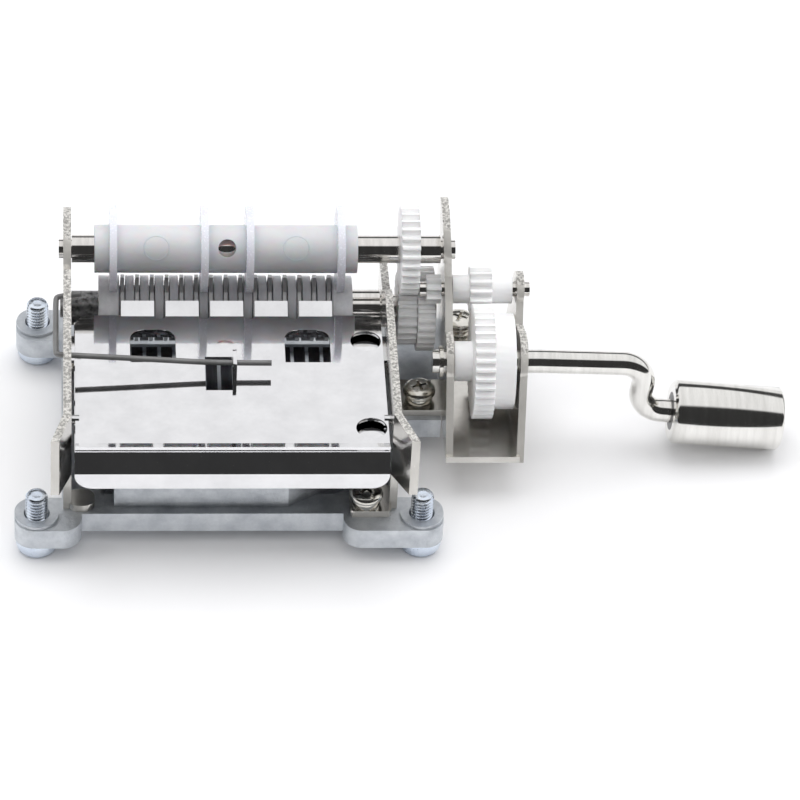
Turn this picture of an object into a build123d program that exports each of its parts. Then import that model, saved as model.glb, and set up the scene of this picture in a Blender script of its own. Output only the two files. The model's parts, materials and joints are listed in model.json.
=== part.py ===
from build123d import *
import math
import os

os.makedirs("parts", exist_ok=True)

# Hand-cranked punched-strip music movement. Millimetres.
# X runs along the rollers, Y from the strip entry to the rear, Z up.
# The origin is the centre of the four mounting studs, on the top faces of their bosses.

# Strip and notes
note_count = 15
note_pitch = 2.0
star_tip_radius = 5.6
star_bore_radius = 3.15
star_thickness = 0.5

# Base and mounting studs
stud_x = 25.5
stud_y = 19.65
stud_radius = 1.5
stud_length = 3.3
stud_shank_radius = 1.4
stud_head_radius = 2.8
stud_head_height = 2.45
boss_radius = 2.9
base_bottom = -3.6
base_top = -0.5
floor_top = -1.9
comb_seat = 4.4
tapped_radius = 0.95
shank_radius = 0.9
washer_radius = 1.85
washer_height = 1.2
head_radius = 2.2
head_height = 1.2

# Sheet metal frame
sheet = 1.05
left_inside = -20.95
right_inside = 21.2
left_flare = 1.75
right_flare = 2.2
bracket_sheet = 1.0
bracket_left = 29.3
bracket_right = 38.55
bracket_lean = 3.2
bracket_yaw = 2.0
post_lean = 3.2

# Rollers and gear train, axes as (Y, Z)
gear_module = 0.4
lower_axis = (13.0, 8.0)
upper_axis = (13.0, 18.4)
idler_axis = (9.54, 14.3)
crank_axis = (0.95, 8.8)
upper_teeth = 29
lower_teeth = 23
reduction_teeth = 28
pinion_teeth = 8
idler_teeth = 14
crank_teeth = 37
running_gap = 0.05

shaft_radius = 1.9
journal_radius = 1.3
tube_radius = 3.25
ring_radius = 5.85
disc_radius = 4.45
groove_radius = 3.1
crank_radius = 1.6

# Cover, strip tray and spring wire
cover_top = 12.15
cover_sheet = 0.5
tray_top = 11.0
tray_sheet = 0.5
cover_middle = 0.15
cover_half_width = 20.6
hinge_axis = (-14.5, 11.9)
hinge_pin_radius = 0.6
wire_radius = 0.38

# Handle
pin_droop = 5.5
knob_radius = 4.35
knob_length = 15.1
knob_start = (60.65, crank_axis[0], -0.1)


def gear_outline(axis, teeth, addendum, dedendum, first_tooth):
    """Points (Y, Z) around an involute gear, its first tooth first_tooth degrees from +Y."""
    pitch_radius = gear_module * teeth / 2
    base_radius = pitch_radius * math.cos(math.radians(20))
    tip_radius = pitch_radius + addendum
    root_radius = pitch_radius - dedendum
    backlash = 0.05
    half_tooth = math.pi / (2 * teeth) - backlash / (2 * pitch_radius)
    pitch_involute = math.tan(math.radians(20)) - math.radians(20)
    flank_start = max(base_radius, root_radius)
    flank = []
    for step in range(4):
        radius = flank_start + (tip_radius - flank_start) * step / 3
        pressure = math.acos(min(1.0, base_radius / radius))
        involute = math.tan(pressure) - pressure
        flank.append((radius, half_tooth + pitch_involute - involute))
    if root_radius < base_radius:
        flank.insert(0, (root_radius, flank[0][1]))
    points = []
    for tooth in range(teeth):
        centre = math.radians(first_tooth) + 2 * math.pi * tooth / teeth
        for radius, half in flank:
            angle = centre - half
            points.append((axis[0] + radius * math.cos(angle), axis[1] + radius * math.sin(angle)))
        for radius, half in reversed(flank):
            angle = centre + half
            points.append((axis[0] + radius * math.cos(angle), axis[1] + radius * math.sin(angle)))
    return points


def direction_to(start, end):
    """Angle in degrees from +Y of the line between two axes."""
    return math.degrees(math.atan2(end[1] - start[1], end[0] - start[0]))


# ---------------------------------------------------------------- die-cast base
bar_half_depth = 19.3
foot_screws = [(18.1, -18.2), (18.6, 11.5), (-18.6, 11.5)]
bracket_screws = [(26.3, 2.9), (32.65, 17.5)]
comb_screws = [(-11.0, -9.5), (11.0, -9.5)]

with BuildPart() as base_casting:
    with BuildSketch(Plane.XY.offset(base_bottom)):
        Rectangle(44.4, 2 * bar_half_depth)
        with Locations((-24.0, -19.4), (-24.0, 19.4)):
            RectangleRounded(8.9, 6.6, 2.6)
        with Locations((21.75, -19.4)):
            RectangleRounded(13.3, 6.6, 2.4)
        with Locations((24.0, 19.4)):
            RectangleRounded(8.9, 6.6, 2.6)
        with Locations((25.6, 10.2)):
            Rectangle(7.2, 21.4)
        with Locations((31.0, 17.0)):
            RectangleRounded(9.0, 8.0, 2.0)
    extrude(amount=base_top - base_bottom)
    with BuildSketch(Plane.XY.offset(base_bottom)):
        with Locations((-stud_x, -stud_y), (stud_x, -stud_y), (-stud_x, stud_y), (stud_x, stud_y)):
            Circle(boss_radius)
    extrude(amount=-base_bottom)
    # shallow floor between the rails
    with BuildSketch(Plane.XY.offset(floor_top)):
        Rectangle(2 * 17.0, 2 * 15.4)
    extrude(amount=5.0, mode=Mode.SUBTRACT)
    # block that carries the comb, cut away diagonally at its right front
    with BuildSketch(Plane.XY.offset(floor_top)):
        with BuildLine():
            Polyline(
                (-15.3, -17.9),
                (7.8, -17.9),
                (16.5, -12.4),
                (16.5, -5.0),
                (-16.5, -5.0),
                (-16.5, -14.0),
                (-15.3, -14.0),
                close=True,
            )
        make_face()
    extrude(amount=comb_seat - floor_top)
    # stud clearance holes and tapped holes
    with Locations((-stud_x, -stud_y, 0), (stud_x, -stud_y, 0), (-stud_x, stud_y, 0), (stud_x, stud_y, 0)):
        Hole(stud_radius + 0.2)
    with Locations([(x, y, base_top) for x, y in foot_screws + bracket_screws]):
        Hole(tapped_radius, depth=2.4)
    with Locations([(x, y, comb_seat) for x, y in comb_screws]):
        Hole(tapped_radius, depth=4.0)
base_casting.part.label = "base_casting"
export_step(base_casting.part, "parts/base_casting.step")

# ---------------------------------------------------------------- side plates
with BuildPart() as left_side_plate:
    with BuildSketch(Plane.YZ.offset(left_inside - sheet)):
        with BuildLine():
            Polyline(
                (-18.3, base_top),
                (-18.3, 5.5),
                (-18.5, 5.6),
                (-18.5, 16.2),
                (6.7, 20.0),
                (7.4, 18.4),
                (18.6, 18.4),
                (18.6, base_top),
                close=True,
            )
        make_face()
        with Locations(upper_axis):
            Circle(5.6)
    extrude(amount=sheet)
    # front wing, flared outward to lead the strip in
    with BuildSketch(Plane.YZ.offset(left_inside - sheet - left_flare)):
        with BuildLine():
            Polyline((-18.0, 5.6), (-24.0, 7.1), (-24.0, 16.4), (-18.0, 16.25), close=True)
        make_face()
    extrude(amount=sheet + left_flare)
    with BuildSketch(Plane.XY.offset(4.0)):
        with BuildLine():
            Polyline(
                (left_inside, -18.5),
                (left_inside - left_flare, -24.5),
                (left_inside + 1.0, -24.5),
                (left_inside + 1.0, -18.5),
                close=True,
            )
        make_face()
        with BuildLine():
            Polyline(
                (left_inside - sheet, -18.3),
                (left_inside - sheet - left_flare, -24.3),
                (left_inside - sheet - left_flare - 1.0, -24.3),
                (left_inside - sheet - left_flare - 1.0, -17.9),
                (left_inside - sheet, -17.9),
                close=True,
            )
        make_face()
    extrude(amount=14.0, mode=Mode.SUBTRACT)
    # feet bent inward onto the base
    with BuildSketch(Plane.XY.offset(base_top)):
        with Locations((left_inside + 1.25, -17.2)):
            RectangleRounded(3.7, 3.4, 1.5)
        with Locations((left_inside + 1.8, 12.0)):
            Rectangle(4.4, 6.0)
    extrude(amount=sheet)
    # journal, hinge pin and wire holes through the sheet
    with BuildSketch(Plane.YZ.offset(left_inside - 2 * sheet)):
        with Locations(upper_axis, lower_axis):
            Circle(journal_radius + running_gap)
        with Locations(hinge_axis):
            Circle(hinge_pin_radius + running_gap)
        with Locations((4.4, 17.36), (-5.4, 15.24)):
            Circle(wire_radius + 0.17)
    extrude(amount=3 * sheet, mode=Mode.SUBTRACT)
    with Locations((*foot_screws[2], base_top + sheet)):
        Hole(1.15, depth=sheet)
left_side_plate.part.label = "left_side_plate"
export_step(left_side_plate.part, "parts/left_side_plate.step")

with BuildPart() as right_side_plate:
    with BuildSketch(Plane.YZ.offset(right_inside)):
        with BuildLine():
            Polyline(
                (-18.3, base_top),
                (-18.3, 5.5),
                (-18.5, 5.6),
                (-18.5, 16.2),
                (6.0, 16.2),
                (8.4, 15.2),
                (9.2, 13.4),
                (18.0, 12.0),
                (18.6, 10.5),
                (18.6, base_top),
                close=True,
            )
        make_face()
    extrude(amount=sheet)
    with BuildSketch(Plane.YZ.offset(right_inside)):
        with BuildLine():
            Polyline((-18.0, 5.6), (-24.0, 7.1), (-24.0, 16.4), (-18.0, 16.25), close=True)
        make_face()
    extrude(amount=sheet + right_flare)
    with BuildSketch(Plane.XY.offset(4.0)):
        with BuildLine():
            Polyline(
                (right_inside, -18.5),
                (right_inside + right_flare, -24.5),
                (right_inside - 1.0, -24.5),
                (right_inside - 1.0, -18.5),
                close=True,
            )
        make_face()
        with BuildLine():
            Polyline(
                (right_inside + sheet, -18.3),
                (right_inside + sheet + right_flare, -24.3),
                (right_inside + sheet + right_flare + 1.0, -24.3),
                (right_inside + sheet + right_flare + 1.0, -17.9),
                (right_inside + sheet, -17.9),
                close=True,
            )
        make_face()
    extrude(amount=14.0, mode=Mode.SUBTRACT)
    with BuildSketch(Plane.XY.offset(base_top)):
        with Locations((right_inside - 2.5, -17.45)):
            RectangleRounded(5.5, 5.2, 0.6)
        with Locations((right_inside - 1.8, 12.0)):
            Rectangle(4.4, 6.0)
    extrude(amount=sheet)
    with BuildSketch(Plane.YZ.offset(right_inside - sheet)):
        with Locations(lower_axis):
            Circle(shaft_radius + running_gap)
        with Locations(hinge_axis):
            Circle(hinge_pin_radius + running_gap)
    extrude(amount=3 * sheet, mode=Mode.SUBTRACT)
    with Locations([(x, y, base_top + sheet) for x, y in foot_screws[:2]]):
        Hole(1.15, depth=sheet)
right_side_plate.part.label = "right_side_plate"
export_step(right_side_plate.part, "parts/right_side_plate.step")

# ---------------------------------------------------------------- gear bracket
bracket_front = -9.2
floor_edge = bracket_right + 0.75

with BuildPart() as gear_bracket:
    # left leg, with the ear round the crank shaft
    with BuildSketch(Plane.YZ.offset(bracket_left)):
        with BuildLine():
            Polyline(
                (bracket_front, base_top),
                (-3.2, 9.5),
                (2.6, 12.7),
                (5.9, 16.4),
                (19.2, 16.4),
                (18.6, base_top),
                close=True,
            )
        make_face()
        with Locations(crank_axis):
            Circle(4.2)
    extrude(amount=bracket_sheet)
    # tall post round the upper roller's journal, leaning in a little
    post_angle = math.radians(post_lean)
    post_foot = 16.0
    post_plane = Plane(
        origin=(bracket_left, 0, post_foot),
        x_dir=(0, 1, 0),
        z_dir=(math.cos(post_angle), 0, math.sin(post_angle)),
    )
    with BuildSketch(post_plane):
        with BuildLine():
            Polyline((5.5, 0.0), (7.4, 2.2), (7.4, 4.3), (18.6, 4.3), (18.9, 0.0), close=True)
        make_face()
        with Locations((upper_axis[0], 4.3)):
            Circle(5.6)
    extrude(amount=bracket_sheet)
    # right leg, leaning outward and turned in slightly towards the rear
    lean = math.tan(math.radians(bracket_lean))
    turn_in = math.tan(math.radians(bracket_yaw))
    right_leg = Plane(origin=(bracket_right, 0, 0), x_dir=(-turn_in, 1, 0), z_dir=(1, turn_in, -lean))
    with BuildSketch(right_leg):
        with BuildLine():
            Polyline(
                (bracket_front, base_top),
                (-3.2, 9.5),
                (3.0, 12.4),
                (5.2, 11.8),
                (7.1, 14.3),
                (12.0, 14.3),
                (13.5, base_top),
                close=True,
            )
        make_face()
        with Locations(crank_axis):
            Circle(4.2)
        with Locations(idler_axis):
            Circle(2.5)
    extrude(amount=bracket_sheet)
    # floor and the flange that is screwed to the base
    with BuildSketch(Plane.XY.offset(base_top)):
        with Locations(((bracket_left + floor_edge) / 2, (bracket_front + 20.8) / 2)):
            Rectangle(floor_edge - bracket_left, 20.8 - bracket_front)
        with Locations(((22.9 + bracket_left) / 2, 3.6)):
            Rectangle(bracket_left - 22.9 + 1.0, 6.4)
    extrude(amount=bracket_sheet)
    with BuildSketch(Plane.YZ.offset(bracket_left - 1.0)):
        with Locations(crank_axis):
            Circle(crank_radius + running_gap)
        with Locations(idler_axis):
            Circle(1.0 + running_gap)
        with Locations(upper_axis):
            Circle(journal_radius + running_gap)
    extrude(amount=14.0, mode=Mode.SUBTRACT)
    with Locations([(x, y, base_top + bracket_sheet) for x, y in bracket_screws]):
        Hole(1.15, depth=bracket_sheet)
gear_bracket.part.label = "gear_bracket"
export_step(gear_bracket.part, "parts/gear_bracket.step")

# ---------------------------------------------------------------- strip tray
window_left = -13.1
window_right = 7.6
window_width = 6.1
wire_slot = (-3.15, 0.46, -8.9, -2.1)

with BuildPart() as strip_tray:
    with BuildSketch(Plane.XY.offset(tray_top - tray_sheet)):
        with Locations((cover_middle, -6.7)):
            Rectangle(2 * (cover_half_width + 0.1), 26.0)
        with Locations(((left_inside + right_inside) / 2, 1.0)):
            Rectangle(right_inside - left_inside, 5.0)
    extrude(amount=tray_sheet)
    # front lip, rolled down in a wide curve
    lip_depth = 1.6
    lip_drop = 2.5
    lip_bottom = 5.7
    with BuildSketch(Plane.YZ.offset(cover_middle - cover_half_width - 0.1)):
        with BuildLine():
            # steep slope between two soft bends, then straight down
            lip_face = -19.6 - lip_depth
            lip_inside = lip_face + tray_sheet
            Polyline(
                (-19.6, tray_top),
                (-19.85, tray_top - 0.12),
                (lip_face + 0.12, tray_top - lip_drop),
                (lip_face, tray_top - lip_drop - 0.3),
                (lip_face, lip_bottom),
                (lip_inside, lip_bottom),
                (lip_inside, tray_top - lip_drop - 0.2),
                (-19.6, tray_top - tray_sheet),
                close=True,
            )
        make_face()
    extrude(amount=2 * (cover_half_width + 0.1))
    # the lip's two lower corners are round
    with BuildSketch(Plane.XZ.offset(18.9)):
        with Locations((cover_middle, lip_bottom + 1.15)):
            Rectangle(2 * cover_half_width + 1.0, 2.4)
        with Locations((cover_middle, lip_bottom + 2.3)):
            RectangleRounded(2 * (cover_half_width + 0.1), 4.6, 2.29, mode=Mode.SUBTRACT)
    extrude(amount=4.0, mode=Mode.SUBTRACT)
    # openings over the comb: two windows and the wire slot
    with BuildSketch(Plane.XY.offset(tray_top - tray_sheet)):
        for window in (window_left, window_right):
            with Locations((window + window_width / 2, 0.15)):
                Rectangle(window_width, 7.4)
        with Locations(((wire_slot[0] + wire_slot[1]) / 2, (wire_slot[2] + wire_slot[3]) / 2)):
            Rectangle(wire_slot[1] - wire_slot[0] + 1.2, wire_slot[3] - wire_slot[2] + 1.6)
    extrude(amount=tray_sheet, mode=Mode.SUBTRACT)
strip_tray.part.label = "strip_tray"
export_step(strip_tray.part, "parts/strip_tray.step")

# ---------------------------------------------------------------- comb
comb_thickness = 1.0
tine_tip = 7.85

with BuildPart() as comb:
    with BuildSketch(Plane.XY.offset(comb_seat)):
        with Locations((0, -9.5)):
            Rectangle(32.0, 9.0)
    extrude(amount=comb_thickness)
    with BuildSketch(Plane.XY.offset(comb_seat + 0.4)):
        for note in range(note_count):
            tine_x = (note - (note_count - 1) / 2) * note_pitch
            with Locations((tine_x, (tine_tip - 5.2) / 2)):
                Rectangle(1.5, tine_tip + 5.2)
    extrude(amount=comb_thickness - 0.4)
    with Locations([(x, y, comb_seat + comb_thickness) for x, y in comb_screws]):
        Hole(1.15, depth=comb_thickness)
comb.part.label = "comb"
export_step(comb.part, "parts/comb.step")

# ---------------------------------------------------------------- screws
screws = {}
for number, (x, y) in enumerate(foot_screws, start=1):
    screws[f"foot_screw_{number}"] = (x, y, base_top + sheet, 3.1)
for number, (x, y) in enumerate(bracket_screws, start=1):
    screws[f"bracket_screw_{number}"] = (x, y, base_top + bracket_sheet, 3.1)
for number, (x, y) in enumerate(comb_screws, start=1):
    screws[f"comb_screw_{number}"] = (x, y, comb_seat + comb_thickness, 4.4)

for name, (x, y, seat, shank) in screws.items():
    with BuildPart() as screw:
        with BuildSketch(Plane.XY.offset(seat)):
            with Locations((x, y)):
                Circle(washer_radius)
        extrude(amount=washer_height)
        with BuildSketch(Plane.XY.offset(seat + washer_height)):
            with Locations((x, y)):
                Circle(head_radius)
        extrude(amount=head_height)
        chamfer(screw.faces().sort_by(Axis.Z)[-1].edges(), length=0.5)
        with BuildSketch(Plane.XY.offset(seat + washer_height + head_height - 0.8)):
            with Locations((x, y)):
                Rectangle(2.6, 0.55, rotation=30)
                Rectangle(0.55, 2.6, rotation=30)
        extrude(amount=1.0, mode=Mode.SUBTRACT)
        with BuildSketch(Plane.XY.offset(seat - shank)):
            with Locations((x, y)):
                Circle(shank_radius)
        extrude(amount=shank)
    screw.part.label = name
    export_step(screw.part, f"parts/{name}.step")

mounting_studs = {
    "mounting_screw_front_left": (-stud_x, -stud_y),
    "mounting_screw_front_right": (stud_x, -stud_y),
    "mounting_screw_rear_left": (-stud_x, stud_y),
    "mounting_screw_rear_right": (stud_x, stud_y),
}
for name, (x, y) in mounting_studs.items():
    with BuildPart() as mounting_screw:
        with BuildSketch(Plane.XY.offset(base_bottom - stud_head_height)):
            with Locations((x, y)):
                Circle(stud_head_radius)
        extrude(amount=stud_head_height)
        chamfer(mounting_screw.faces().sort_by(Axis.Z)[0].edges(), length=0.4)
        with BuildSketch(Plane.XY.offset(base_bottom)):
            with Locations((x, y)):
                Circle(stud_shank_radius)
        extrude(amount=-base_bottom)
        with BuildSketch(Plane.XY):
            with Locations((x, y)):
                Circle(stud_radius)
        extrude(amount=stud_length)
    mounting_screw.part.label = name
    export_step(mounting_screw.part, f"parts/{name}.step")

# ---------------------------------------------------------------- hinged strip cover
notch_pitch = 3 * note_pitch
cover_rear = 6.5
cover_front = -19.5

with BuildPart() as strip_cover:
    with BuildSketch(Plane.XY.offset(cover_top - cover_sheet)):
        with Locations((cover_middle, (cover_rear + cover_front) / 2)):
            Rectangle(2 * cover_half_width, cover_rear - cover_front)
        fillet(vertices().group_by(Axis.Y)[-1], radius=2.1)
    extrude(amount=cover_sheet)
    # front edge turned up to lead the strip in
    with BuildSketch(Plane.YZ.offset(cover_middle - cover_half_width)):
        with BuildLine():
            Polyline(
                (cover_front, cover_top),
                (cover_front, cover_top - cover_sheet),
                (cover_front - 1.35, cover_top),
                (cover_front - 1.35, cover_top + cover_sheet),
                close=True,
            )
        make_face()
    extrude(amount=2 * cover_half_width)
    # five tongues turned up along the rear edge
    with BuildSketch(Plane.YZ.offset(-2 * notch_pitch - 2.23)):
        with BuildLine():
            Polyline(
                (cover_rear, cover_top),
                (cover_rear, cover_top - cover_sheet),
                (cover_rear + 2.0, cover_top - cover_sheet + 1.15),
                (cover_rear + 1.75, cover_top - cover_sheet + 1.6),
                (cover_rear - 0.2, cover_top),
                close=True,
            )
        make_face()
    extrude(amount=4 * notch_pitch + 4.46)
    with BuildSketch(Plane.XY.offset(cover_top - 2.0)):
        for gap in (-1.5, -0.5, 0.5, 1.5):
            with Locations((gap * notch_pitch, cover_rear + 1.5)):
                Rectangle(notch_pitch - 4.46, 3.0)
            with Locations((gap * notch_pitch, cover_rear)):
                Circle((notch_pitch - 4.46) / 2)
    extrude(amount=6.0, mode=Mode.SUBTRACT)
    # D windows, two round holes and the slot the wire tab is bent out of
    with BuildSketch(Plane.XY.offset(cover_top - cover_sheet)):
        for window in (window_left, window_right):
            with Locations((window + window_width / 2, 0.15)):
                Rectangle(window_width, 6.7)
        fillet(vertices().group_by(Axis.Y)[-1], radius=1.9)
        with Locations((18.5, 1.2), (18.5, -16.5)):
            Circle(2.05)
        with Locations(((wire_slot[0] + wire_slot[1]) / 2, (wire_slot[2] + wire_slot[3]) / 2)):
            Rectangle(wire_slot[1] - wire_slot[0], wire_slot[3] - wire_slot[2])
    extrude(amount=cover_sheet, mode=Mode.SUBTRACT)
    with BuildSketch(Plane.YZ.offset(wire_slot[1])):
        with Locations((-5.4, cover_top + 1.25)):
            RectangleRounded(3.6, 3.5, 0.8)
        with Locations((-5.4, cover_top)):
            Rectangle(3.6, 2 * cover_sheet)
        with Locations((-5.4, 13.95)):
            Circle(wire_radius + 0.25, mode=Mode.SUBTRACT)
    extrude(amount=cover_sheet)
    # short hinge pins at the two sides
    for side in (-1, 1):
        with BuildSketch(Plane.YZ.offset(cover_middle + side * (cover_half_width - 0.5))):
            with Locations(hinge_axis):
                Circle(hinge_pin_radius)
        extrude(amount=side * 1.8)
strip_cover.part.label = "strip_cover"
export_step(strip_cover.part, "parts/strip_cover.step")

# ---------------------------------------------------------------- spring wire
with BuildPart() as spring_wire:
    with BuildLine() as wire_path:
        FilletPolyline(
            (-19.6, 4.4, 17.65),
            (-23.0, 4.4, 17.15),
            (-23.0, -5.4, 15.35),
            (0.6, -5.4, 13.95),
            (5.6, -5.4, 13.9),
            radius=0.75,
        )
    with BuildSketch(wire_path.line ^ 0):
        Circle(wire_radius)
    sweep()
spring_wire.part.label = "spring_wire"
export_step(spring_wire.part, "parts/spring_wire.step")

# ---------------------------------------------------------------- upper roller
with BuildPart() as upper_shaft:
    with BuildSketch(Plane.YZ.offset(left_inside + 0.1)):
        with Locations(upper_axis):
            Circle(shaft_radius)
    extrude(amount=bracket_left - left_inside - 0.5)
    with BuildSketch(Plane.YZ.offset(left_inside - sheet - 0.6)):
        with Locations(upper_axis):
            Circle(journal_radius)
    extrude(amount=bracket_left - left_inside + sheet + 0.6 + bracket_sheet + 0.6)
upper_shaft.part.label = "upper_shaft"
export_step(upper_shaft.part, "parts/upper_shaft.step")

ring_places = (-15.3, -3.05, 3.05, 15.3)
with BuildPart() as upper_roller:
    with BuildSketch(Plane.YZ.offset(-17.8)):
        with Locations(upper_axis):
            Circle(tube_radius)
            Circle(shaft_radius + 0.02, mode=Mode.SUBTRACT)
    extrude(amount=35.4)
    # cross hole that shows the shaft
    toward_front = Plane(origin=(0, upper_axis[0], upper_axis[1]), z_dir=(0, -0.755, 0.656))
    with BuildSketch(toward_front):
        Circle(1.2)
    extrude(amount=5.0, mode=Mode.SUBTRACT)
upper_roller.part.label = "upper_roller"
export_step(upper_roller.part, "parts/upper_roller.step")

for number, place in enumerate(ring_places, start=1):
    with BuildPart() as drive_ring:
        with BuildSketch(Plane.YZ.offset(place - 0.5)):
            with Locations(upper_axis):
                Circle(ring_radius)
                Circle(tube_radius + 0.02, mode=Mode.SUBTRACT)
        extrude(amount=1.0)
    drive_ring.part.label = f"drive_ring_{number}"
    export_step(drive_ring.part, f"parts/drive_ring_{number}.step")

with BuildPart() as upper_gear:
    with BuildSketch(Plane.YZ.offset(23.4)):
        with BuildLine():
            Polyline(
                *gear_outline(upper_axis, upper_teeth, 0.36, 0.5, -90 + 180 / upper_teeth),
                close=True,
            )
        make_face()
        with Locations(upper_axis):
            Circle(shaft_radius + 0.02, mode=Mode.SUBTRACT)
    extrude(amount=2.5)
upper_gear.part.label = "upper_gear"
export_step(upper_gear.part, "parts/upper_gear.step")

# ---------------------------------------------------------------- lower roller
with BuildPart() as lower_shaft:
    with BuildSketch(Plane.YZ.offset(left_inside + 0.1)):
        with Locations(lower_axis):
            Circle(shaft_radius)
    extrude(amount=28.8 - left_inside - 0.1)
    with BuildSketch(Plane.YZ.offset(left_inside - sheet - 0.4)):
        with Locations(lower_axis):
            Circle(journal_radius)
    extrude(amount=3.0)
    # knurled collar at the left, plain thicker collar at the right
    with BuildSketch(Plane.YZ.offset(left_inside + 0.1)):
        with Locations(lower_axis):
            Circle(2.35)
    extrude(amount=3.6)
    with BuildSketch(Plane.YZ.offset(17.25)):
        with Locations(lower_axis):
            Circle(2.6)
    extrude(amount=3.8)
lower_shaft.part.label = "lower_shaft"
export_step(lower_shaft.part, "parts/lower_shaft.step")

slot_width = 0.85
with BuildPart() as grooved_roller:
    with BuildSketch(Plane.YZ.offset(-17.2)):
        with Locations(lower_axis):
            Circle(disc_radius)
            Circle(shaft_radius + 0.02, mode=Mode.SUBTRACT)
    extrude(amount=34.4)
    # one groove for each star wheel
    for note in range(note_count):
        slot_x = (note - (note_count - 1) / 2) * note_pitch
        with BuildSketch(Plane.YZ.offset(slot_x - slot_width / 2)):
            with Locations(lower_axis):
                Circle(disc_radius + 0.5)
                Circle(groove_radius, mode=Mode.SUBTRACT)
        extrude(amount=slot_width, mode=Mode.SUBTRACT)
grooved_roller.part.label = "grooved_roller"
export_step(grooved_roller.part, "parts/grooved_roller.step")

star_points = 4
for note in range(note_count):
    star_x = (note - (note_count - 1) / 2) * note_pitch
    outline = []
    for point in range(star_points):
        for offset, radius in ((-32, 4.0), (-4, star_tip_radius), (3, star_tip_radius), (18, 4.0)):
            angle = math.radians(360 * point / star_points + offset)
            outline.append(
                (lower_axis[0] + radius * math.cos(angle), lower_axis[1] + radius * math.sin(angle))
            )
    with BuildPart() as star_wheel:
        with BuildSketch(Plane.YZ.offset(star_x - star_thickness / 2)):
            with BuildLine():
                Polyline(*outline, close=True)
            make_face()
            with Locations(lower_axis):
                Circle(star_bore_radius, mode=Mode.SUBTRACT)
        extrude(amount=star_thickness)
    star_wheel.part.label = f"star_wheel_{note + 1:02d}"
    export_step(star_wheel.part, f"parts/star_wheel_{note + 1:02d}.step")

with BuildPart() as lower_gear:
    with BuildSketch(Plane.YZ.offset(23.4)):
        with BuildLine():
            Polyline(*gear_outline(lower_axis, lower_teeth, 0.36, 0.5, 90), close=True)
        make_face()
        with Locations(lower_axis):
            Circle(shaft_radius + 0.02, mode=Mode.SUBTRACT)
    extrude(amount=2.6)
lower_gear.part.label = "lower_gear"
export_step(lower_gear.part, "parts/lower_gear.step")

with BuildPart() as reduction_gear:
    with BuildSketch(Plane.YZ.offset(26.05)):
        with BuildLine():
            Polyline(
                *gear_outline(
                    lower_axis, reduction_teeth, 0.2, 0.5,
                    direction_to(lower_axis, idler_axis),
                ),
                close=True,
            )
        make_face()
        with Locations(lower_axis):
            Circle(shaft_radius + 0.02, mode=Mode.SUBTRACT)
    extrude(amount=2.4)
reduction_gear.part.label = "reduction_gear"
export_step(reduction_gear.part, "parts/reduction_gear.step")

# ---------------------------------------------------------------- idler
with BuildPart() as idler_axle:
    with BuildSketch(Plane.YZ.offset(26.1)):
        with Locations(idler_axis):
            Circle(1.0)
    extrude(amount=14.9)
idler_axle.part.label = "idler_axle"
export_step(idler_axle.part, "parts/idler_axle.step")

with BuildPart() as pinion:
    with BuildSketch(Plane.YZ.offset(27.0)):
        with BuildLine():
            Polyline(
                *gear_outline(
                    idler_axis, pinion_teeth, 0.38, 0.45,
                    direction_to(idler_axis, lower_axis) + 180 / pinion_teeth,
                ),
                close=True,
            )
        make_face()
        with Locations(idler_axis):
            Circle(1.02, mode=Mode.SUBTRACT)
    extrude(amount=2.0)
pinion.part.label = "pinion"
export_step(pinion.part, "parts/pinion.step")

with BuildPart() as idler_gear:
    with BuildSketch(Plane.YZ.offset(30.5)):
        with Locations(idler_axis):
            Circle(1.95)
    extrude(amount=8.1)
    with BuildSketch(Plane.YZ.offset(32.8)):
        with BuildLine():
            Polyline(
                *gear_outline(
                    idler_axis, idler_teeth, 0.36, 0.5,
                    direction_to(idler_axis, crank_axis) + 180 / idler_teeth,
                ),
                close=True,
            )
        make_face()
    extrude(amount=3.0)
    with BuildSketch(Plane.YZ.offset(30.0)):
        with Locations(idler_axis):
            Circle(1.02)
    extrude(amount=9.0, mode=Mode.SUBTRACT)
idler_gear.part.label = "idler_gear"
export_step(idler_gear.part, "parts/idler_gear.step")

# ---------------------------------------------------------------- crank
with BuildPart() as crank_gear:
    with BuildSketch(Plane.YZ.offset(30.5)):
        with Locations(crank_axis):
            Circle(2.7)
    extrude(amount=2.5)
    with BuildSketch(Plane.YZ.offset(32.95)):
        with BuildLine():
            Polyline(
                *gear_outline(
                    crank_axis, crank_teeth, 0.36, 0.5,
                    direction_to(crank_axis, idler_axis),
                ),
                close=True,
            )
        make_face()
    extrude(amount=2.7)
    with BuildSketch(Plane.YZ.offset(35.6)):
        with Locations(crank_axis):
            Circle(6.45)
    extrude(amount=2.9)
    with BuildSketch(Plane.YZ.offset(30.0)):
        with Locations(crank_axis):
            Circle(crank_radius + 0.02)
    extrude(amount=9.0, mode=Mode.SUBTRACT)
crank_gear.part.label = "crank_gear"
export_step(crank_gear.part, "parts/crank_gear.step")

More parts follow.
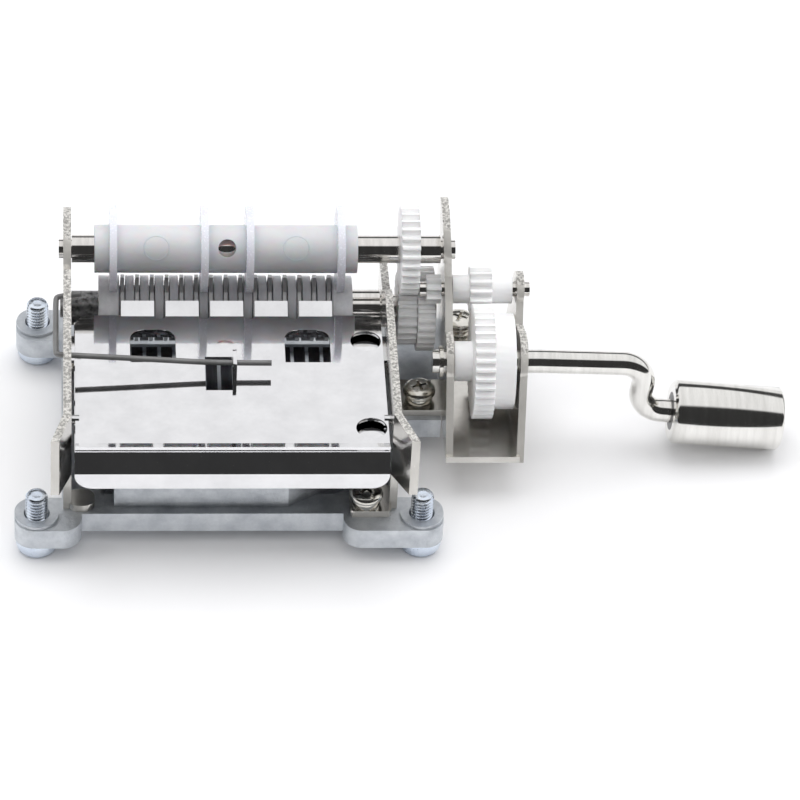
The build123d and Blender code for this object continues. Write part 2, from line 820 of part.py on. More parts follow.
droop = math.radians(pin_droop)
pin_reach = 12.0
pin_end = (
    knob_start[0] + pin_reach * math.cos(droop),
    knob_start[1],
    knob_start[2] - pin_reach * math.sin(droop),
)
pin_back = 4.7
pin_bend = (
    knob_start[0] - pin_back * math.cos(droop),
    knob_start[1],
    knob_start[2] + pin_back * math.sin(droop),
)
with BuildPart() as crank_rod:
    with BuildLine() as rod_path:
        FilletPolyline(
            (27.6, crank_axis[0], crank_axis[1]),
            (42.0, crank_axis[0], crank_axis[1]),
            (56.9, crank_axis[0], crank_axis[1] - 0.5),
            pin_bend,
            pin_end,
            radius=3.2,
        )
    with BuildSketch(Plane.YZ.offset(27.6)):
        with Locations(crank_axis):
            Circle(crank_radius)
    sweep()
    # groove for the retaining clip
    with BuildSketch(Plane.YZ.offset(28.5)):
        with Locations(crank_axis):
            Circle(crank_radius + 0.5)
            Circle(1.2, mode=Mode.SUBTRACT)
    extrude(amount=0.6, mode=Mode.SUBTRACT)
crank_rod.part.label = "crank_rod"
export_step(crank_rod.part, "parts/crank_rod.step")

with BuildPart() as crank_clip:
    with BuildSketch(Plane.YZ.offset(28.55)):
        with Locations(crank_axis):
            Circle(2.1)
            Circle(1.22, mode=Mode.SUBTRACT)
        with Locations((crank_axis[0] + 1.8, crank_axis[1])):
            Rectangle(2.6, 1.4, mode=Mode.SUBTRACT)
    extrude(amount=0.5)
crank_clip.part.label = "crank_clip"
export_step(crank_clip.part, "parts/crank_clip.step")

# ---------------------------------------------------------------- handle
handle_plane = Plane(origin=knob_start, x_dir=(0, 1, 0), z_dir=(math.cos(droop), 0, -math.sin(droop)))
bush_radius = 2.6
bush_length = 1.2

with BuildPart() as handle_knob:
    with BuildSketch(handle_plane):
        Circle(knob_radius)
    extrude(amount=knob_length)
    chamfer(handle_knob.edges().filter_by(GeomType.CIRCLE).sort_by(Axis.X)[0], length=0.5)
    chamfer(handle_knob.edges().filter_by(GeomType.CIRCLE).sort_by(Axis.X)[-1], length=0.35)
    with BuildSketch(handle_plane):
        Circle(crank_radius + running_gap)
    extrude(amount=pin_reach + 0.3, mode=Mode.SUBTRACT)
    with BuildSketch(handle_plane):
        Circle(bush_radius)
    extrude(amount=bush_length, mode=Mode.SUBTRACT)
handle_knob.part.label = "handle_knob"
export_step(handle_knob.part, "parts/handle_knob.step")

with BuildPart() as knob_bush:
    with BuildSketch(handle_plane):
        Circle(bush_radius - 0.02)
        Circle(crank_radius + running_gap, mode=Mode.SUBTRACT)
    extrude(amount=bush_length - 0.05)
knob_bush.part.label = "knob_bush"
export_step(knob_bush.part, "parts/knob_bush.step")
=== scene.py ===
import json
import math

import bmesh
import bpy
from mathutils import Matrix, Vector


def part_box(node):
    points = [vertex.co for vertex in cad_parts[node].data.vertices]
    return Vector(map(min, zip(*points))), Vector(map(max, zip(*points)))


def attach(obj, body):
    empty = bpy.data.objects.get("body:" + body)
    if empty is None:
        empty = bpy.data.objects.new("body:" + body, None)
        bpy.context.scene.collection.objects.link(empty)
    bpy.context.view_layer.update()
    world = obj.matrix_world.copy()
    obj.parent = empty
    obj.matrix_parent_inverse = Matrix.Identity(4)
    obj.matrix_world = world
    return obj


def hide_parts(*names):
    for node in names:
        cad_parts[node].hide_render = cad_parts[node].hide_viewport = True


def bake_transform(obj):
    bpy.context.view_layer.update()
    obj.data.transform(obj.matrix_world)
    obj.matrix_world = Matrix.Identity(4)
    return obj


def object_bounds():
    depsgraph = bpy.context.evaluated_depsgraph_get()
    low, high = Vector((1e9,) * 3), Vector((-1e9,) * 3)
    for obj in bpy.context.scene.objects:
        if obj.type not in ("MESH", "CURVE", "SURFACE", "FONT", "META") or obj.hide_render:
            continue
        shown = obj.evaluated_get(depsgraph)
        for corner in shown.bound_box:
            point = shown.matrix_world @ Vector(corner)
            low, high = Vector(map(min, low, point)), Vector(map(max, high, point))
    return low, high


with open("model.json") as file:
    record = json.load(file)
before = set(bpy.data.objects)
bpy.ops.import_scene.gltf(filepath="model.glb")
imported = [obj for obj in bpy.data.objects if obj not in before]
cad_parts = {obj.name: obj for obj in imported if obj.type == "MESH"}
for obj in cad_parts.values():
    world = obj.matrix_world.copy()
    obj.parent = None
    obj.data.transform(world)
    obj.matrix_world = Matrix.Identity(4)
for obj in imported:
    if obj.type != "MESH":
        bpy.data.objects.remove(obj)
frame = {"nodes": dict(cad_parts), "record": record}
nodes = frame["nodes"]
cad_low, cad_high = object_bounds()

MM = 0.001


# ------------------------------------------------------------------ camera
# A long lens about 680 mm away and 41 degrees up. It stands level with the left end of the
# movement and is turned a little to the right, so the rollers run level across the picture.
ELEVATION = math.radians(41.0)
TURN = math.radians(3.947)
DISTANCE = 680 * MM
STAND_X = -23.3 * MM
STAND_HEIGHT = 2.03 * MM

forward = Vector((0, math.cos(ELEVATION), -math.sin(ELEVATION)))
upward = Vector((0, math.sin(ELEVATION), math.cos(ELEVATION)))
aim = (forward * math.cos(TURN) + Vector((math.sin(TURN), 0, 0))).normalized()
across = aim.cross(upward).normalized()

camera_data = bpy.data.cameras.new("camera")
camera_data.sensor_width = 36
camera_data.lens = 226.0
camera_data.clip_start = 0.01
camera_data.clip_end = 20
camera = bpy.data.objects.new("camera", camera_data)
turned = Matrix((across, upward, -aim)).transposed().to_4x4()
turned.translation = Vector((STAND_X, 0, 0)) + upward * STAND_HEIGHT - forward * DISTANCE
camera.matrix_world = turned
bpy.context.scene.collection.objects.link(camera)
bpy.context.scene.camera = camera
bpy.context.scene.view_settings.view_transform = "Standard"


# ------------------------------------------------------------------ material helpers
def new_material(name, colour, roughness, metallic=0.0, **sockets):
    """A Principled material; sockets are set by name, with _ for the spaces."""
    material = bpy.data.materials.new(name)
    material.use_nodes = True
    shader = material.node_tree.nodes["Principled BSDF"]
    shader.inputs["Base Color"].default_value = (*colour, 1)
    shader.inputs["Roughness"].default_value = roughness
    shader.inputs["Metallic"].default_value = metallic
    for socket, value in sockets.items():
        shader.inputs[socket.replace("_", " ")].default_value = value
    return material


def add(material, kind, **settings):
    """A node with its properties and unlinked inputs set."""
    node = material.node_tree.nodes.new(kind)
    for key, value in settings.items():
        if hasattr(node, key):
            setattr(node, key, value)
        else:
            node.inputs[key.replace("_", " ")].default_value = value
    return node


def link(material, source, target):
    material.node_tree.links.new(source, target)


def millimetres(material, stretch=(1, 1, 1)):
    """Object coordinates in millimetres, stretched per axis."""
    place = add(material, "ShaderNodeTexCoord")
    mapping = add(material, "ShaderNodeMapping")
    mapping.inputs["Scale"].default_value = [1000 * s for s in stretch]
    link(material, place.outputs["Object"], mapping.inputs["Vector"])
    return mapping.outputs["Vector"]


def noise(material, where, scale, detail=4.0, rough=0.6):
    node = add(material, "ShaderNodeTexNoise")
    node.inputs["Scale"].default_value = scale
    node.inputs["Detail"].default_value = detail
    node.inputs["Roughness"].default_value = rough
    link(material, where, node.inputs["Vector"])
    return node.outputs["Fac"]


def spread(material, value, low, high, start=0.3, end=0.7):
    """Maps a noise value onto low to high."""
    node = add(material, "ShaderNodeMapRange")
    node.inputs["From Min"].default_value = start
    node.inputs["From Max"].default_value = end
    node.inputs["To Min"].default_value = low
    node.inputs["To Max"].default_value = high
    link(material, value, node.inputs["Value"])
    return node.outputs["Result"]


def mix_colours(material, factor, first, second):
    node = add(material, "ShaderNodeMix", data_type="RGBA")
    for socket, colour in ((node.inputs[6], first), (node.inputs[7], second)):
        if isinstance(colour, bpy.types.NodeSocket):
            link(material, colour, socket)
        else:
            socket.default_value = (*colour, 1)
    link(material, factor, node.inputs[0])
    return node.outputs[2]


def bump(material, height, distance_mm, strength=1.0):
    node = add(material, "ShaderNodeBump")
    node.inputs["Distance"].default_value = distance_mm * MM
    node.inputs["Strength"].default_value = strength
    link(material, height, node.inputs["Height"])
    shader = material.node_tree.nodes["Principled BSDF"]
    link(material, node.outputs["Normal"], shader.inputs["Normal"])


def compare(material, value, operation, limit):
    """1 where the value passes the limit, else 0."""
    node = add(material, "ShaderNodeMath", operation=operation)
    node.inputs[1].default_value = limit
    link(material, value, node.inputs[0])
    return node.outputs[0]


def combine(material, operation, first, second):
    node = add(material, "ShaderNodeMath", operation=operation)
    link(material, first, node.inputs[0])
    link(material, second, node.inputs[1])
    return node.outputs[0]


def axes(material):
    """Position in millimetres, one socket per axis."""
    split = add(material, "ShaderNodeSeparateXYZ")
    link(material, millimetres(material), split.inputs["Vector"])
    return split.outputs


def repaint(material, mask, colours, roughness=None):
    """Gives the masked part of a material two other tints, and a roughness if stated."""
    shader = material.node_tree.nodes["Principled BSDF"]
    base = shader.inputs["Base Color"].links[0].from_socket
    patches = spread(material, noise(material, millimetres(material), 1.5), 0, 1)
    tint = mix_colours(material, patches, *colours)
    link(material, mix_colours(material, mask, base, tint), shader.inputs["Base Color"])
    if roughness is not None:
        before = shader.inputs["Roughness"].links[0].from_socket
        node = add(material, "ShaderNodeMix", data_type="FLOAT")
        link(material, mask, node.inputs[0])
        link(material, before, node.inputs[2])
        node.inputs[3].default_value = roughness
        link(material, node.outputs[0], shader.inputs["Roughness"])
    return material


def surface(material, colours, grain, roughness, relief, stretch=(1, 1, 1), patches=0.25):
    """Two close tints in soft patches, with a fine grain in the roughness and the relief."""
    shader = material.node_tree.nodes["Principled BSDF"]
    where = millimetres(material, stretch)
    tint = mix_colours(material, spread(material, noise(material, where, patches), 0, 1), *colours)
    link(material, tint, shader.inputs["Base Color"])
    fine = noise(material, where, grain)
    link(material, spread(material, fine, *roughness), shader.inputs["Roughness"])
    bump(material, fine, relief)
    return material


# ------------------------------------------------------------------ metals
def cast_zinc():
    material = new_material("cast_zinc", (0.60, 0.63, 0.66), 0.42, metallic=0.85)
    shader = material.node_tree.nodes["Principled BSDF"]
    where = millimetres(material)
    blotch = noise(material, where, 0.35, detail=6)
    tint = mix_colours(material, spread(material, blotch, 0, 1), (0.50, 0.53, 0.57), (0.74, 0.77, 0.80))
    link(material, tint, shader.inputs["Base Color"])
    skin = noise(material, where, 2.2, detail=8, rough=0.7)
    link(material, spread(material, skin, 0.28, 0.55), shader.inputs["Roughness"])
    bump(material, skin, 0.10)
    return material


# Stamped sheet: where its surfaces count as sheared, narrow or flange, by normal and height
SHEARED_UP = 0.8
NARROW_SIDEWAYS = 0.45
FLANGE_UP = 0.9
FLANGE_TOP_MM = 2.2
EXTRA_ROUGH = 0.22
DULL_METALLIC = 0.35


def stamped_nickel():
    """Plated sheet: smooth faces, dull narrow edges, mottled where a sheared edge looks up."""
    material = new_material("stamped_nickel", (0.74, 0.72, 0.68), 0.2, metallic=1.0)
    shader = material.node_tree.nodes["Principled BSDF"]
    where = millimetres(material)
    geometry = add(material, "ShaderNodeNewGeometry")
    facing = add(material, "ShaderNodeSeparateXYZ")
    link(material, geometry.outputs["Normal"], facing.inputs["Vector"])
    edge = compare(material, facing.outputs["Z"], "GREATER_THAN", SHEARED_UP)
    above_floor = compare(material, axes(material)["Z"], "GREATER_THAN", FLANGE_TOP_MM)
    sheared = combine(material, "MULTIPLY", edge, above_floor)
    torn = noise(material, where, 2.4, detail=3, rough=0.7)
    torn_tint = mix_colours(
        material, spread(material, torn, 0, 1, 0.42, 0.58), (0.38, 0.37, 0.35), (0.88, 0.86, 0.82)
    )
    cloud = noise(material, where, 0.2)
    face_tint = mix_colours(
        material, spread(material, cloud, 0, 1), (0.66, 0.64, 0.60), (0.80, 0.78, 0.74)
    )
    tint = mix_colours(material, sheared, face_tint, torn_tint)
    link(material, tint, shader.inputs["Base Color"])
    grain = noise(material, where, 6.0)
    smooth_face = spread(material, grain, 0.16, 0.28)
    rough = add(material, "ShaderNodeMath", operation="MULTIPLY_ADD")
    rough.inputs[1].default_value = EXTRA_ROUGH
    link(material, sheared, rough.inputs[0])
    link(material, smooth_face, rough.inputs[2])
    link(material, rough.outputs[0], shader.inputs["Roughness"])
    bump(material, combine(material, "MULTIPLY", torn, sheared), 0.35)
    # the narrow cut edges are duller than the faces
    aside = add(material, "ShaderNodeMath", operation="ABSOLUTE")
    link(material, facing.outputs["X"], aside.inputs[0])
    narrow = compare(material, aside.outputs[0], "LESS_THAN", NARROW_SIDEWAYS)
    not_level = compare(material, facing.outputs["Z"], "LESS_THAN", FLANGE_UP)
    not_flange = combine(material, "MAXIMUM", above_floor, not_level)
    cut_edge = combine(material, "MULTIPLY", narrow, not_flange)
    dull = add(material, "ShaderNodeMapRange")
    dull.inputs["To Min"].default_value = 1.0
    dull.inputs["To Max"].default_value = DULL_METALLIC
    link(material, cut_edge, dull.inputs["Value"])
    link(material, dull.outputs["Result"], shader.inputs["Metallic"])
    return material


def turned_steel(name, low, high, roughness, relief=0.003):
    """Bright bar with fine turning marks round the X axis."""
    material = new_material(name, high, roughness[0], metallic=1.0)
    return surface(material, (low, high), 3.0, roughness, relief, stretch=(5, 0.6, 0.6))


COLLAR_END_MM = -17.25
BETWEEN_SHAFTS_MM = 11.0
END_COLLARS_MM = 14.6


def polished_shaft():
    """Bright shafts; the lower one's knurled left collar is dark and rough."""
    material = turned_steel("polished_shaft", (0.70, 0.68, 0.65), (0.84, 0.82, 0.79), (0.06, 0.12))
    place = axes(material)
    at_left = compare(material, place["X"], "LESS_THAN", COLLAR_END_MM)
    low = compare(material, place["Z"], "LESS_THAN", BETWEEN_SHAFTS_MM)
    mask = combine(material, "MULTIPLY", at_left, low)
    return repaint(material, mask, ((0.08, 0.08, 0.08), (0.42, 0.42, 0.42)), 0.42)


def grey_acetal():
    """Discs between the star wheels painted mid grey, partly for the translucent plastic and partly as
    painted shade for the shadow between the wheels, with paler collars at both ends in the plastic's lit
    tone.
    """
    material = surface(
        new_material("grey_acetal", (0.42, 0.42, 0.44), 0.4, Subsurface_Weight=0.1, Subsurface_Scale=0.0006),
        ((0.38, 0.38, 0.40), (0.47, 0.47, 0.49)), 4.0, (0.34, 0.5), 0.006,
    )
    aside = add(material, "ShaderNodeMath", operation="ABSOLUTE")
    link(material, axes(material)["X"], aside.inputs[0])
    # the paler ends and the grey middle are lit and shaded tones of one plastic: painted light and painted
    # shade
    mask = compare(material, aside.outputs[0], "GREATER_THAN", END_COLLARS_MM)
    return repaint(material, mask, ((0.58, 0.58, 0.60), (0.68, 0.68, 0.70)))


materials = {
    "zinc_casting": cast_zinc(),
    "nickel_sheet": stamped_nickel(),
    "mirror_sheet": surface(
        new_material("mirror_sheet", (0.86, 0.86, 0.87), 0.05, metallic=1.0),
        ((0.74, 0.74, 0.75), (0.84, 0.84, 0.85)), 1.6, (0.035, 0.075), 0.0015,
    ),
    # the comb is painted near black as painted shade for the dark under the cover where it lies
    "comb_steel": surface(
        new_material("comb_steel", (0.10, 0.10, 0.11), 0.3, metallic=1.0),
        ((0.10, 0.10, 0.11), (0.20, 0.20, 0.21)), 5.0, (0.25, 0.42), 0.004, stretch=(4, 0.3, 1),
    ),
    "spring_steel": surface(
        new_material("spring_steel", (0.24, 0.24, 0.24), 0.45, metallic=0.5),
        ((0.19, 0.19, 0.19), (0.28, 0.28, 0.28)), 6.0, (0.40, 0.55), 0.004,
    ),
    "polished_shaft": polished_shaft(),
    "nickel_rod": turned_steel("nickel_rod", (0.72, 0.71, 0.68), (0.86, 0.85, 0.82), (0.07, 0.14)),
    "nickel_screw": surface(
        new_material("nickel_screw", (0.76, 0.74, 0.68), 0.14, metallic=1.0),
        ((0.62, 0.60, 0.54), (0.84, 0.82, 0.77)), 2.5, (0.10, 0.22), 0.012,
    ),
    "zinc_screw": surface(
        new_material("zinc_screw", (0.72, 0.79, 0.88), 0.2, metallic=1.0),
        ((0.62, 0.69, 0.80), (0.82, 0.88, 0.95)), 3.0, (0.14, 0.30), 0.01,
    ),
    "star_steel": surface(
        new_material("star_steel", (0.68, 0.68, 0.68), 0.35, metallic=0.8),
        ((0.60, 0.60, 0.60), (0.76, 0.76, 0.76)), 4.0, (0.32, 0.46), 0.004,
    ),
    "frosted_nylon": surface(
        new_material(
            "frosted_nylon", (0.80, 0.80, 0.81), 0.5,
            Transmission_Weight=0.15, Subsurface_Weight=0.4, Subsurface_Scale=0.0015, IOR=1.45,
        ),
        ((0.74, 0.74, 0.76), (0.83, 0.83, 0.84)), 5.0, (0.42, 0.60), 0.012, patches=0.12,
    ),
    "clear_ring": surface(
        new_material(
            "clear_ring", (0.88, 0.89, 0.97), 0.25,
            Transmission_Weight=0.12, Subsurface_Weight=0.1, Subsurface_Scale=0.001, IOR=1.4,
        ),
        ((0.85, 0.86, 0.96), (0.93, 0.94, 1.0)), 3.0, (0.2, 0.3), 0.004,
    ),
    "grey_acetal": grey_acetal(),
    "white_acetal": surface(
        new_material(
            "white_acetal", (0.95, 0.95, 0.95), 0.36, Subsurface_Weight=0.05, Subsurface_Scale=0.001,
        ),
        ((0.93, 0.93, 0.94), (0.98, 0.98, 0.98)), 4.0, (0.3, 0.44), 0.008,
    ),
    "dark_bush": surface(
        new_material("dark_bush", (0.12, 0.12, 0.12), 0.35, metallic=1.0),
        ((0.09, 0.09, 0.09), (0.16, 0.16, 0.16)), 4.0, (0.3, 0.45), 0.004,
    ),
}
slot_of = {part["node"]: part["material_slot"] for part in frame["record"]["subparts"]}


def dress(piece, slot):
    """Gives a mesh its slot's material."""
    piece.data.materials.clear()
    piece.data.materials.append(materials[slot])


for name, node in nodes.items():
    dress(node, slot_of[name])


# ------------------------------------------------------------------ mesh helpers
def mesh_piece(name, points, faces, slot, body, smooth=True):
    mesh = bpy.data.meshes.new(name)
    mesh.from_pydata([tuple(p) for p in points], [], faces)
    shaped = bmesh.new()
    shaped.from_mesh(mesh)
    bmesh.ops.recalc_face_normals(shaped, faces=shaped.faces)
    shaped.to_mesh(mesh)
    shaped.free()
    piece = bpy.data.objects.new(name, mesh)
    bpy.context.scene.collection.objects.link(piece)
    if smooth:
        mesh.polygons.foreach_set("use_smooth", [True] * len(mesh.polygons))
    dress(piece, slot)
    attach(piece, body)
    return piece


def stacked_rings(rings):
    """Points and faces of a closed body made of equal rings, capped at both ends."""
    count = len(rings[0])
    points = [p for ring in rings for p in ring]
    faces = []
    for level in range(len(rings) - 1):
        for i in range(count):
            j = (i + 1) % count
            below = level * count
            above = below + count
            faces.append((below + i, below + j, above + j, above + i))
    faces.append(tuple(range(count - 1, -1, -1)))
    faces.append(tuple(range((len(rings) - 1) * count, len(rings) * count)))
    return points, faces


def cut_away(piece, tools):
    """Cuts closed tool meshes out of a piece and keeps the result as its mesh."""
    for tool in tools:
        modifier = piece.modifiers.new("cut", "BOOLEAN")
        modifier.operation = "DIFFERENCE"
        modifier.solver = "EXACT"
        modifier.object = tool
    bpy.context.view_layer.update()
    evaluated = piece.evaluated_get(bpy.context.evaluated_depsgraph_get())
    mesh = bpy.data.meshes.new_from_object(evaluated)
    piece.modifiers.clear()
    piece.data = mesh
    for tool in tools:
        bpy.data.objects.remove(tool)


def recess_bar(centre, reach, width, depth, angle):
    """A tapered bar, narrower at its bottom, for one arm pair of a cross recess."""
    points = []
    for z, shrink in ((0.3 * MM, 1.0), (-depth, 0.45)):
        for sx, sy in ((-1, -1), (1, -1), (1, 1), (-1, 1)):
            x = sx * reach * shrink
            y = sy * width * (0.5 + 0.5 * shrink)
            turned_x = x * math.cos(angle) - y * math.sin(angle)
            turned_y = x * math.sin(angle) + y * math.cos(angle)
            points.append(Vector((turned_x, turned_y, z)) + centre)
    faces = [(0, 1, 2, 3), (7, 6, 5, 4), (0, 4, 5, 1), (1, 5, 6, 2), (2, 6, 7, 3), (3, 7, 4, 0)]
    mesh = bpy.data.meshes.new("recess")
    mesh.from_pydata([tuple(p) for p in points], [], faces)
    bar = bpy.data.objects.new("recess", mesh)
    shaped = bmesh.new()
    shaped.from_mesh(mesh)
    bmesh.ops.recalc_face_normals(shaped, faces=shaped.faces)
    shaped.to_mesh(mesh)
    shaped.free()
    bpy.context.scene.collection.objects.link(bar)
    return bar


# ------------------------------------------------------------------ screws
ROUND = 64
MOUNTING_HEAD = 2.45 * MM
SMALL_HEAD = 1.2 * MM
WASHER_HEIGHT = 1.2 * MM
WASHER_RADIUS = 1.85 * MM
CHAMFER = 0.06 * MM


def thread_radius(turns, outer, depth):
    """Radius of a 60 degree thread, as far along it as turns, with flat crests and roots."""
    phase = abs((turns % 1) * 2 - 1)
    return outer - depth * min(1, max(0, phase * 1.35 - 0.175))


def threaded_body(x, y, bottom, top, outer, pitch, depth, tip):
    """Rings of a thread running up from bottom, with a short chamfered tip."""
    rings = []
    steps = int((top - bottom) / pitch * 14)
    for step in range(steps + 1):
        z = bottom + (top - bottom) * step / steps
        ring = []
        for i in range(ROUND):
            angle = 2 * math.pi * i / ROUND
            radius = thread_radius(z / pitch - i / ROUND, outer, depth)
            radius = min(radius, outer - max(0, z - (top - tip)) * 0.75)
            ring.append(Vector((x + radius * math.cos(angle), y + radius * math.sin(angle), z)))
        rings.append(ring)
    return rings


def flat_ring(x, y, radius, z):
    turns = [2 * math.pi * i / ROUND for i in range(ROUND)]
    return [Vector((x + radius * math.cos(turn), y + radius * math.sin(turn), z)) for turn in turns]


def mounting_screw(node):
    """M3 screw, its pan head below the base and its thread standing up out of the boss."""
    low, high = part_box(node)
    x = (low.x + high.x) / 2
    y = (low.y + high.y) / 2
    head = (high.x - low.x) / 2
    rings = [
        flat_ring(x, y, head * 0.62, low.z),
        flat_ring(x, y, head * 0.80, low.z + 0.10 * MM),
        flat_ring(x, y, head * 0.93, low.z + 0.38 * MM),
        flat_ring(x, y, head * 0.985, low.z + 0.85 * MM),
        flat_ring(x, y, head, low.z + 1.3 * MM),
        flat_ring(x, y, head, low.z + 2.37 * MM),
        flat_ring(x, y, head - 0.07 * MM, low.z + MOUNTING_HEAD),
        flat_ring(x, y, 1.42 * MM, low.z + MOUNTING_HEAD),
    ]
    rings += threaded_body(x, y, low.z + 2.55 * MM, high.z, 1.5 * MM, 0.5 * MM, 0.27 * MM, 0.35 * MM)
    rings.append(flat_ring(x, y, 0.55 * MM, high.z - 0.10 * MM))
    points, faces = stacked_rings(rings)
    piece = mesh_piece(node + "_threaded", points, faces, "zinc_screw", "frame")
    centre = Vector((x, y, low.z))
    flipped = []
    for angle in (0.5, 0.5 + math.pi / 2):
        bar = recess_bar(Vector((0, 0, 0)), 1.35 * MM, 0.26 * MM, 1.0 * MM, angle)
        for vertex in bar.data.vertices:
            vertex.co.z = -vertex.co.z
            vertex.co += centre
        bar.data.flip_normals()
        flipped.append(bar)
    cut_away(piece, flipped)
    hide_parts(node)


def pan_screw(node, turn):
    """Small domed screw on a washer, with a cross recess."""
    low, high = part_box(node)
    x = (low.x + high.x) / 2
    y = (low.y + high.y) / 2
    head = (high.x - low.x) / 2
    seat = high.z - SMALL_HEAD
    collar = seat - WASHER_HEIGHT
    rings = [flat_ring(x, y, 0.7 * MM, low.z), flat_ring(x, y, 0.9 * MM, low.z + 0.2 * MM)]
    rings += [flat_ring(x, y, 0.9 * MM, collar), flat_ring(x, y, WASHER_RADIUS - CHAMFER, collar)]
    rings += [flat_ring(x, y, WASHER_RADIUS, collar + CHAMFER)]
    rings += [flat_ring(x, y, WASHER_RADIUS, seat - CHAMFER)]
    rings += [flat_ring(x, y, WASHER_RADIUS - CHAMFER, seat), flat_ring(x, y, head * 0.97, seat)]
    dome = ((1.0, 0.08), (1.0, 0.36), (0.97, 0.60), (0.90, 0.80), (0.78, 0.97), (0.58, 1.11), (0.30, 1.18))
    for share, rise in dome:
        rings.append(flat_ring(x, y, head * share, seat + rise * MM))
    points, faces = stacked_rings(rings)
    piece = mesh_piece(node + "_domed", points, faces, "nickel_screw", "frame")
    top = Vector((x, y, high.z))
    bars = [recess_bar(top, 1.15 * MM, 0.20 * MM, 0.95 * MM, turn + k * math.pi / 2) for k in (0, 1)]
    cut_away(piece, bars)
    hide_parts(node)


for name in sorted(nodes):
    if name.startswith("mounting_screw"):
        mounting_screw(name)
for index, name in enumerate(sorted(n for n in nodes if "screw" in n and "mounting" not in n)):
    pan_screw(name, 0.3 + 0.9 * index)


# ------------------------------------------------------------------ spring wire
def wire_tube(name, route, radius, slot):
    """A round wire along a smooth line through the route's points."""
    curve = bpy.data.curves.new(name, "CURVE")
    curve.dimensions = "3D"
    curve.bevel_depth = radius
    curve.bevel_resolution = 6
    curve.use_fill_caps = True
    curve.resolution_u = 10
    spline = curve.splines.new("NURBS")
    spline.points.add(len(route) - 1)
    for point, place in zip(spline.points, route):
        point.co = (*place, 1)
    spline.order_u = 3
    spline.use_endpoint_u = True
    holder = bpy.data.objects.new(name + "_line", curve)
    bpy.context.scene.collection.objects.link(holder)
    bpy.context.view_layer.update()
    mesh = bpy.data.meshes.new_from_object(holder.evaluated_get(bpy.context.evaluated_depsgraph_get()))
    bpy.data.objects.remove(holder)
    piece = bpy.data.objects.new(name, mesh)
    bpy.context.scene.collection.objects.link(piece)
    shaped = bmesh.new()
    shaped.from_mesh(mesh)
    bmesh.ops.remove_doubles(shaped, verts=shaped.verts, dist=1e-6)
    bmesh.ops.recalc_face_normals(shaped, faces=shaped.faces)
    shaped.to_mesh(mesh)
    shaped.free()
    mesh.polygons.foreach_set("use_smooth", [True] * len(mesh.polygons))
    dress(piece, slot)
    return piece


wire_low, wire_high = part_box("spring_wire")
wire = 0.38 * MM
outside = wire_low.x + wire
rear = wire_high.y - wire
front = wire_low.y + wire
top = wire_high.z - wire
bottom = wire_low.z + wire
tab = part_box("strip_cover")[0].x + 22.4 * MM
route = [
    (outside + 3.4 * MM, rear, top),
    (outside + 1.2 * MM, rear, top - 0.35 * MM),
    (outside + 0.2 * MM, rear, top - 0.55 * MM),
    (outside, rear - 0.5 * MM, top - 0.65 * MM),
    (outside, (rear + front) / 2, (top + bottom) / 2 + 0.45 * MM),
    (outside, front + 0.4 * MM, bottom + 1.5 * MM),
    (outside + 0.2 * MM, front, bottom + 1.45 * MM),
    (outside + 2.0 * MM, front, bottom + 1.33 * MM),
    (outside + 12.0 * MM, front, bottom + 0.68 * MM),
    (tab - 4.0 * MM, front, bottom + 0.12 * MM),
    (tab, front, bottom + 0.03 * MM),
    (wire_high.x, front, bottom),
]
wire_piece = wire_tube("bent_spring_wire", route, wire, "spring_steel")
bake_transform(wire_piece)
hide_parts("spring_wire")


# ------------------------------------------------------------------ moulding marks on the roller tube
def ring_on_tube(name, centre_x, radius, axis_y, axis_z, tube):
    """A faint raised circle, wrapped round the front of the tube."""
    facing = math.atan2(math.sin(ELEVATION), -math.cos(ELEVATION))
    around = 48
    section = 8
    line = 0.07 * MM
    points = []
    for i in range(around):
        swing = 2 * math.pi * i / around
        for k in range(section):
            lean = 2 * math.pi * k / section
            reach = radius + line * math.cos(lean)
            angle = facing + reach * math.sin(swing) / tube
            out = tube + line * 0.6 * math.sin(lean)
            x = centre_x + reach * math.cos(swing)
            y = axis_y + out * math.cos(angle)
            z = axis_z + out * math.sin(angle)
            points.append(Vector((x, y, z)))
    faces = []
    for i in range(around):
        for k in range(section):
            n = (i + 1) % around
            m = (k + 1) % section
            faces.append((i * section + k, n * section + k, n * section + m, i * section + m))
    return mesh_piece(name, points, faces, "frosted_nylon", "upper_roller_set")


tube_low, tube_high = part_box("upper_roller")
tube_y = (tube_low.y + tube_high.y) / 2
tube_z = (tube_low.z + tube_high.z) / 2
tube_radius = (tube_high.z - tube_low.z) / 2
for side, place in (("left", -9.5 * MM), ("right", 9.3 * MM)):
    ring_on_tube(f"moulding_mark_{side}", place, 1.7 * MM, tube_y, tube_z, tube_radius)


# ------------------------------------------------------------------ broken edges on the CAD pieces
EDGES = {
    "base_casting": 0.30, "left_side_plate": 0.10, "right_side_plate": 0.10, "gear_bracket": 0.10,
    "strip_cover": 0.08, "strip_tray": 0.10, "crank_gear": 0.08, "idler_gear": 0.08, "handle_knob": 0.15,
    "grooved_roller": 0.06, "upper_gear": 0.06, "lower_gear": 0.06, "reduction_gear": 0.06,
}
for name, width in EDGES.items():
    node = nodes[name]
    weld = node.modifiers.new("weld", "WELD")
    weld.merge_threshold = 1e-6
    soft = node.modifiers.new("broken_edge", "BEVEL")
    soft.width = width * MM
    soft.segments = 2
    soft.limit_method = "ANGLE"
    soft.angle_limit = math.radians(50)
    soft.use_clamp_overlap = True
    soft.harden_normals = True


# ------------------------------------------------------------------ floor and light
def stage_plane(name, size, front, z, colour):
    mesh = bpy.data.meshes.new(name)
    corners = [(-size, front, z), (size, front, z), (size, size, z), (-size, size, z)]
    mesh.from_pydata(corners, [], [(0, 1, 2, 3)])
    plane = bpy.data.objects.new(name, mesh)
    bpy.context.scene.collection.objects.link(plane)
    material = new_material(name, colour, 0.9)
    surface(material, (colour, [c * 0.995 for c in colour]), 0.02, (0.85, 0.95), 0.0)
    mesh.materials.append(material)
    return plane


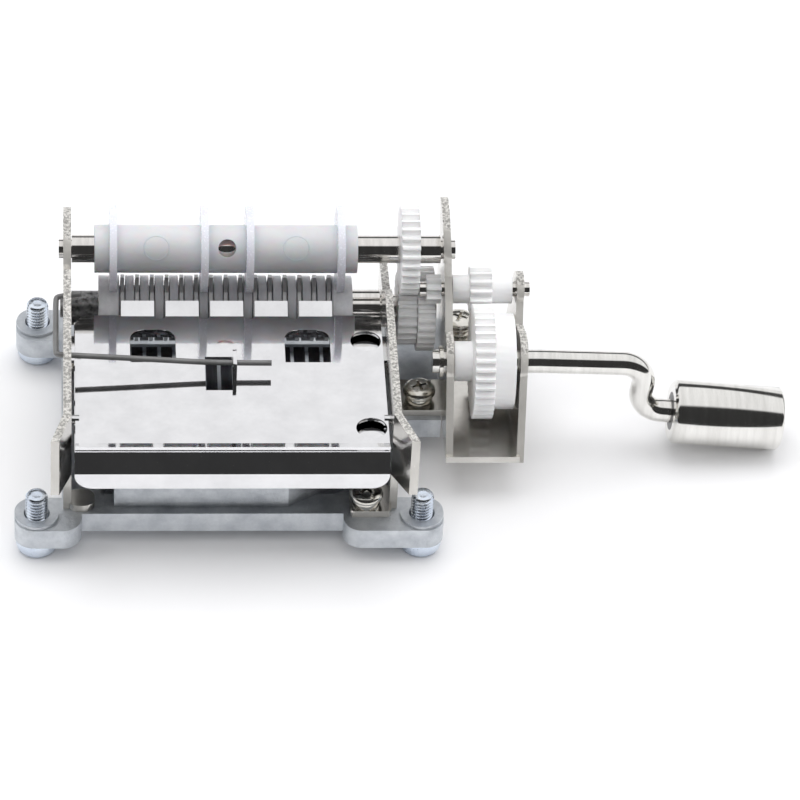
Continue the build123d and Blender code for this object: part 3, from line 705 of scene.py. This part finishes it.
# the floor ends a hand's width in front, and what lies beyond it is dark in the mirrors
stage_plane("floor", 4.0, -0.10, cad_low.z - 0.02 * MM, (0.93, 0.93, 0.94))


def softbox(name, place, target, width, height, power, colour=(1, 1, 1)):
    data = bpy.data.lights.new(name, "AREA")
    data.shape = "RECTANGLE"
    data.size = width
    data.size_y = height
    data.energy = power
    data.color = colour
    lamp = bpy.data.objects.new(name, data)
    lamp.visible_glossy = False
    lamp.location = place
    lamp.rotation_euler = (Vector(target) - Vector(place)).to_track_quat("-Z", "Y").to_euler()
    bpy.context.scene.collection.objects.link(lamp)
    return lamp


middle = (0.02, 0, 0.01)
softbox("overhead", (0.0, 0.25, 0.9), middle, 0.9, 0.7, 3.5)
softbox("front_fill", (0.0, -0.7, 0.75), middle, 1.0, 0.6, 3.2)
softbox("left_box", (-0.8, -0.1, 0.5), middle, 0.5, 0.6, 1.2)
softbox("right_box", (0.9, 0.0, 0.5), middle, 0.5, 0.6, 1.2)

world = bpy.data.worlds.new("studio")
bpy.context.scene.world = world
world.use_nodes = True
tree = world.node_tree
background = tree.nodes["Background"]
place = tree.nodes.new("ShaderNodeTexCoord")
split = tree.nodes.new("ShaderNodeSeparateXYZ")
tree.links.new(place.outputs["Generated"], split.inputs["Vector"])
# the share goes from straight behind (0) under the floor to the front horizon (0.5),
# up overhead (0.75) and down to straight behind again (1)
forwards = tree.nodes.new("ShaderNodeMath")
forwards.operation = "MULTIPLY"
forwards.inputs[1].default_value = -1.0
tree.links.new(split.outputs["Y"], forwards.inputs[0])
angle = tree.nodes.new("ShaderNodeMath")
angle.operation = "ARCTAN2"
tree.links.new(split.outputs["Z"], angle.inputs[0])
tree.links.new(forwards.outputs[0], angle.inputs[1])
share = tree.nodes.new("ShaderNodeMapRange")
share.inputs["From Min"].default_value = -math.pi
share.inputs["From Max"].default_value = math.pi
tree.links.new(angle.outputs[0], share.inputs["Value"])
ramp = tree.nodes.new("ShaderNodeValToRGB")
# white below and behind, dark room in front, white ceiling, a dark gap, white wall
stops = ramp.color_ramp.elements
stops[0].position = 0.0
stops[0].color = (0.95, 0.95, 0.96, 1)
stops[1].position = 1.0
stops[1].color = (0.95, 0.95, 0.96, 1)
bands = (
    (90, 0.95), (100, 0.05), (180, 0.04), (242, 0.04), (249, 0.95),
    (322, 1.0), (325, 0.06), (342, 0.06), (345, 0.95),
)
for degrees, level in bands:
    stop = stops.new(degrees / 360)
    stop.color = (level, level, level * 1.01, 1)
tree.links.new(share.outputs["Result"], ramp.inputs["Fac"])
eye = tree.nodes.new("ShaderNodeLightPath")
seen = tree.nodes.new("ShaderNodeMix")
seen.data_type = "RGBA"
tree.links.new(eye.outputs["Is Camera Ray"], seen.inputs[0])
tree.links.new(ramp.outputs["Color"], seen.inputs[6])
seen.inputs[7].default_value = (1, 1, 1, 1)
tree.links.new(seen.outputs[2], background.inputs["Color"])
background.inputs["Strength"].default_value = 1.0
